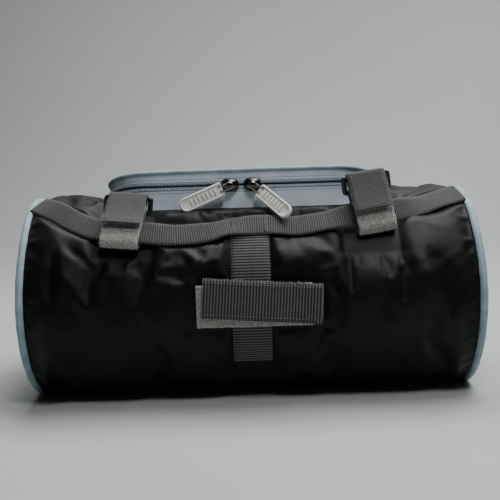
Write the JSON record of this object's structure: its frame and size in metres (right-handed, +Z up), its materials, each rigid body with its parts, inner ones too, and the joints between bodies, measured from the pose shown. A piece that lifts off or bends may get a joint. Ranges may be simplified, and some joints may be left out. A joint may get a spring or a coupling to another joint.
{
  "type": "handlebar roll bag",
  "caption": "Padded barrel bag with a boxed zip lid, front webbing with hook-and-loop cinch straps, a tether and end handles.",
  "frame": {"origin": "on the flattened underside, below the middle of the barrel's axis", "axes": "+X along the barrel to its right end as seen from the strapped front, -Y towards the strapped front, +Z up"},
  "size_m": [0.3064, 0.1415, 0.1499],
  "materials": {
    "nylon": "glossy coated nylon, satin sheen",
    "foam": "closed-cell foam",
    "lining": "matte polyester lining",
    "binding": "matte grosgrain",
    "piping": "pale blue woven piping",
    "zip_tape": "pale blue knitted tape",
    "zip_coil": "nylon coil",
    "slider_metal": "polished gunmetal",
    "wire": "bright wire",
    "pull_plastic": "off-white moulded",
    "webbing": "ribbed polypropylene",
    "thread": "bonded thread",
    "loop_pile": "fluffy loop pile",
    "hook_pile": "hook pile",
    "ring_plastic": "moulded black"
  },
  "bodies": {
    "bag": {"barrel_skin": "nylon", "barrel_foam": "foam", "barrel_lining": "lining", "end_panel_left": "nylon", "end_panel_right": "nylon", "end_foam_left": "foam", "end_foam_right": "foam", "end_lining_left": "lining", "end_lining_right": "lining", "end_piping_left": "piping", "end_piping_right": "piping", "seam_binding_left": "binding", "seam_binding_right": "binding", "end_handle_left": "webbing", "end_handle_right": "webbing", "zip_tape_lower": "zip_tape", "zip_coil_lower": "zip_coil", "back_gusset": "nylon", "mouth_binding": "binding", "zip_end_tabs": "nylon", "front_webbing": "webbing", "middle_webbing": "webbing", "bar_tacks": "thread", "tether_base": "webbing", "tether_loop": "loop_pile"},
    "lid": {"lid_panel": "nylon", "lid_foam": "foam", "lid_lining": "lining", "lid_piping": "piping", "zip_tape_upper": "zip_tape", "zip_coil_upper": "zip_coil", "lid_back_gusset": "nylon"},
    "slider_left": {"slider_left": "slider_metal"},
    "bail_left": {"bail_left": "wire"},
    "pull_left": {"pull_tab_left": "pull_plastic"},
    "slider_right": {"slider_right": "slider_metal"},
    "bail_right": {"bail_right": "wire"},
    "pull_right": {"pull_tab_right": "pull_plastic"},
    "cinch_left": {"cinch_web_left": "webbing", "cinch_loop_left": "loop_pile", "cinch_ring_left": "ring_plastic"},
    "cinch_flap_left": {"cinch_flap_left": "webbing", "cinch_hook_left": "hook_pile"},
    "cinch_right": {"cinch_web_right": "webbing", "cinch_loop_right": "loop_pile", "cinch_ring_right": "ring_plastic"},
    "cinch_flap_right": {"cinch_flap_right": "webbing", "cinch_hook_right": "hook_pile"},
    "tether_flap": {"tether_flap": "webbing", "tether_hook": "hook_pile"}
  },
  "joints": [
    {"name": "lid_hinge", "type": "hinge", "parent": "bag", "child": "lid", "pos_m": [0, 0.044, 0.119], "axis": [-1, 0, 0], "range_deg": [0, 95]},
    {"name": "slider_left_slide", "type": "slide", "parent": "bag", "child": "slider_left", "axis": [-1, 0, 0], "range_m": [0, 0.026]},
    {"name": "slider_right_slide", "type": "slide", "parent": "bag", "child": "slider_right", "axis": [1, 0, 0], "range_m": [0, 0.016]},
    {"name": "bail_left_swing", "type": "hinge", "parent": "slider_left", "child": "bail_left", "pos_m": [-0.012, -0.0269, 0.139], "axis": [0, 1, 0], "range_deg": [0, 70]},
    {"name": "bail_right_swing", "type": "hinge", "parent": "slider_right", "child": "bail_right", "pos_m": [0.003, -0.0269, 0.139], "axis": [0, -1, 0], "range_deg": [0, 85]},
    {"name": "pull_left_tilt", "type": "hinge", "parent": "bail_left", "child": "pull_left", "pos_m": [-0.01877, -0.0269, 0.13626], "axis": [-0.3746, 0, 0.9272], "range_deg": [0, 85]},
    {"name": "pull_right_tilt", "type": "hinge", "parent": "bail_right", "child": "pull_right", "pos_m": [0.00859, -0.0269, 0.13431], "axis": [-0.6428, 0, -0.766], "range_deg": [0, 60]},
    {"name": "cinch_left_slide", "type": "slide", "parent": "bag", "child": "cinch_left", "axis": [1, 0, 0], "range_m": [-0.002, 0.006]},
    {"name": "cinch_left_peel", "type": "hinge", "parent": "cinch_left", "child": "cinch_flap_left", "pos_m": [-0.07789, -0.03768, 0.13548], "axis": [-0.9925, 0.0862, 0.0862], "range_deg": [0, 120]},
    {"name": "cinch_right_slide", "type": "slide", "parent": "bag", "child": "cinch_right", "axis": [1, 0, 0], "range_m": [-0.006, 0]},
    {"name": "cinch_right_peel", "type": "hinge", "parent": "cinch_right", "child": "cinch_flap_right", "pos_m": [0.07601, -0.04075, 0.14463], "axis": [-0.9877, -0.0734, -0.1381], "range_deg": [0, 120]},
    {"name": "tether_peel", "type": "hinge", "parent": "bag", "child": "tether_flap", "pos_m": [0.042, -0.0723, 0.06579], "axis": [0.0785, 0.0522, 0.9956], "range_deg": [0, 115]}
  ]
}
